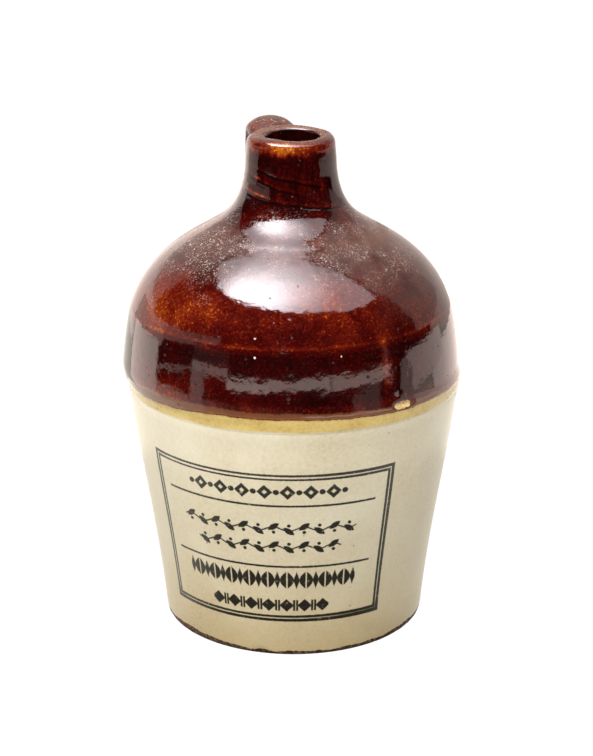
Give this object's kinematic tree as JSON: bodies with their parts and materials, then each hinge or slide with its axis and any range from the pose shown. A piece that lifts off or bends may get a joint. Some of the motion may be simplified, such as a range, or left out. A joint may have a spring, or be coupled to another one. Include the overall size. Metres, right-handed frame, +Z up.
{
  "type": "stoneware jug",
  "caption": "Small stoneware jug with a tapered body, a domed shoulder, a narrow neck with a rounded rim and a strap handle between neck and shoulder, for holding and pouring liquid.",
  "frame": {"origin": "on the jug's axis at the middle of its foot", "axes": "+Z up along the jug's axis, towards the mouth; +Y from the axis towards the handle; +X to the right when seen from the side opposite the handle"},
  "size_m": [0.0776, 0.0776, 0.114],
  "materials": {
    "cream_glaze": "glossy cream glaze with a dark printed frame of rules and ornaments on one side",
    "brown_glaze": "high-gloss red-brown slip glaze, thinning to amber at the rim and to a tan band at the lower edge"
  },
  "bodies": {
    "root": {"body": "cream_glaze", "shoulder": "brown_glaze", "handle": "brown_glaze"}
  },
  "joints": []
}
